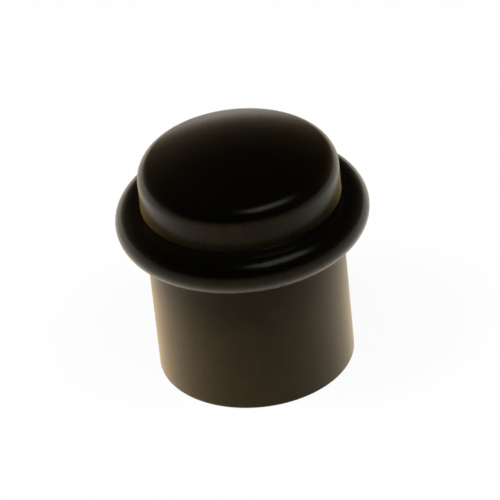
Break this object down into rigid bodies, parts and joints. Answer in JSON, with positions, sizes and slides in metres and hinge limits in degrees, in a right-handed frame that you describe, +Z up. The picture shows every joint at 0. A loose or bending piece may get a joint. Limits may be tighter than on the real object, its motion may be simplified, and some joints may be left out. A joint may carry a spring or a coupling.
{
  "type": "rubber door stop",
  "caption": "Floor door stop moulded in black rubber: a short round post with a round-edged bumper ring below a crowned cap, and a blind fixing hole in its flat base.",
  "frame": {"origin": "centre of the flat base, on the floor", "axes": "+Z up along the turned axis, from the base to the crown; X and Y are equal because the part is round"},
  "size_m": [0.04, 0.04, 0.0397],
  "materials": {
    "black_rubber": "satin moulded rubber, near black with a faint warm tone"
  },
  "bodies": {
    "root": {"rubber_stop": "black_rubber"}
  },
  "joints": []
}
